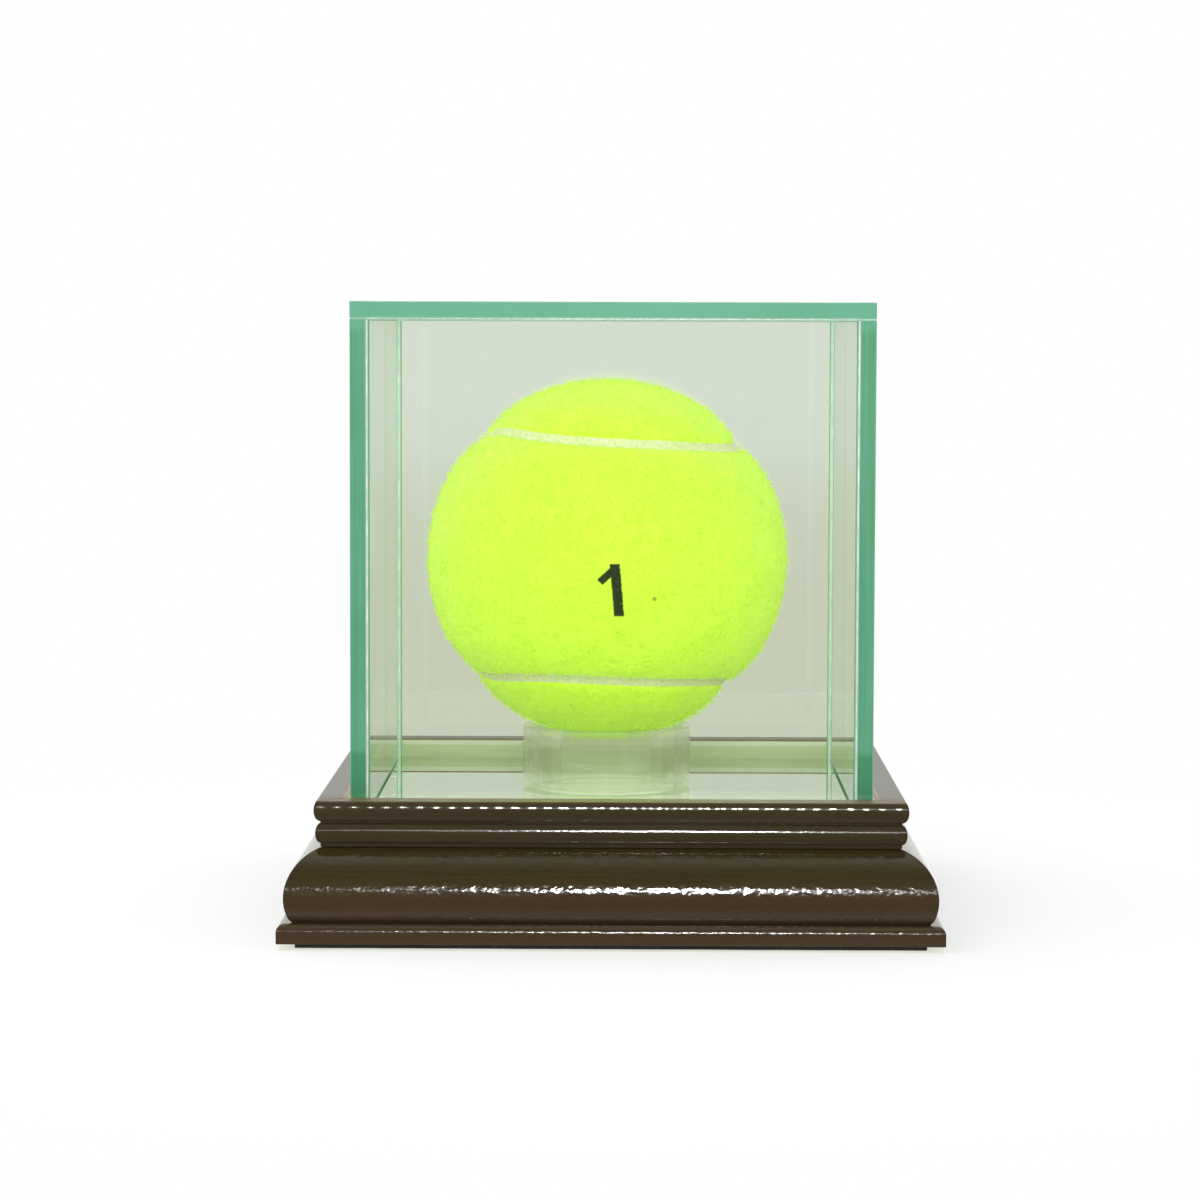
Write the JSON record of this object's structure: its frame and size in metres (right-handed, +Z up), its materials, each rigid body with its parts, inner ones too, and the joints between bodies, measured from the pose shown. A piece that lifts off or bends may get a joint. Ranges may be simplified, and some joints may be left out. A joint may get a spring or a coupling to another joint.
{
  "type": "tennis ball display case",
  "caption": "Square display case for a tennis ball: a bonded glass cover lifts off a dark moulded wooden base with a mirror floor and a clear ring stand.",
  "frame": {"origin": "middle of the felt underside, where the case stands", "axes": "+Z up; the front faces -Y; +X is to the viewer's right"},
  "size_m": [0.1142, 0.1142, 0.1106],
  "materials": {
    "glass": "clear float glass, green at the edges, polished and arrised",
    "adhesive": "clear cured film",
    "lacquered_wood": "espresso stain under semi-gloss lacquer",
    "hardboard": "raw",
    "foam_tape": "matt",
    "mirror": "polished",
    "steel": "bright",
    "base_felt": "matt felt",
    "acrylic": "polished clear",
    "ball_felt": "napped felt",
    "seam_rubber": "matt",
    "core_rubber": "matt"
  },
  "bodies": {
    "base": {"moulding_front": "lacquered_wood", "moulding_right": "lacquered_wood", "moulding_back": "lacquered_wood", "moulding_left": "lacquered_wood", "v_nail_front_right": "steel", "v_nail_back_right": "steel", "v_nail_back_left": "steel", "v_nail_front_left": "steel", "deck_board": "hardboard", "mirror_tape_left": "foam_tape", "mirror_tape_right": "foam_tape", "mirror": "mirror", "bottom_panel": "hardboard", "panel_pin_front": "steel", "panel_pin_right": "steel", "panel_pin_back": "steel", "panel_pin_left": "steel", "base_felt": "base_felt"},
    "cover": {"cover_top_pane": "glass", "cover_front_pane": "glass", "cover_back_pane": "glass", "cover_left_pane": "glass", "cover_right_pane": "glass", "cover_bond_top": "adhesive", "cover_bond_front_left": "adhesive", "cover_bond_front_right": "adhesive", "cover_bond_back_left": "adhesive", "cover_bond_back_right": "adhesive"},
    "stand": {"ring_stand": "acrylic"},
    "ball": {"ball_core_upper": "core_rubber", "ball_core_lower": "core_rubber", "ball_felt_front": "ball_felt", "ball_felt_back": "ball_felt", "ball_seam": "seam_rubber"}
  },
  "joints": [
    {"name": "cover_lift", "type": "slide", "parent": "base", "child": "cover", "axis": [0, 0, 1], "range_m": [0, 0.1]},
    {"name": "stand_turn", "type": "hinge", "parent": "base", "child": "stand", "pos_m": [-0.0012, 0, 0.0218], "axis": [0, 0, 1], "continuous": true},
    {"name": "ball_lift", "type": "slide", "parent": "stand", "child": "ball", "axis": [0, 0, 1], "range_m": [0, 0.01]}
  ]
}
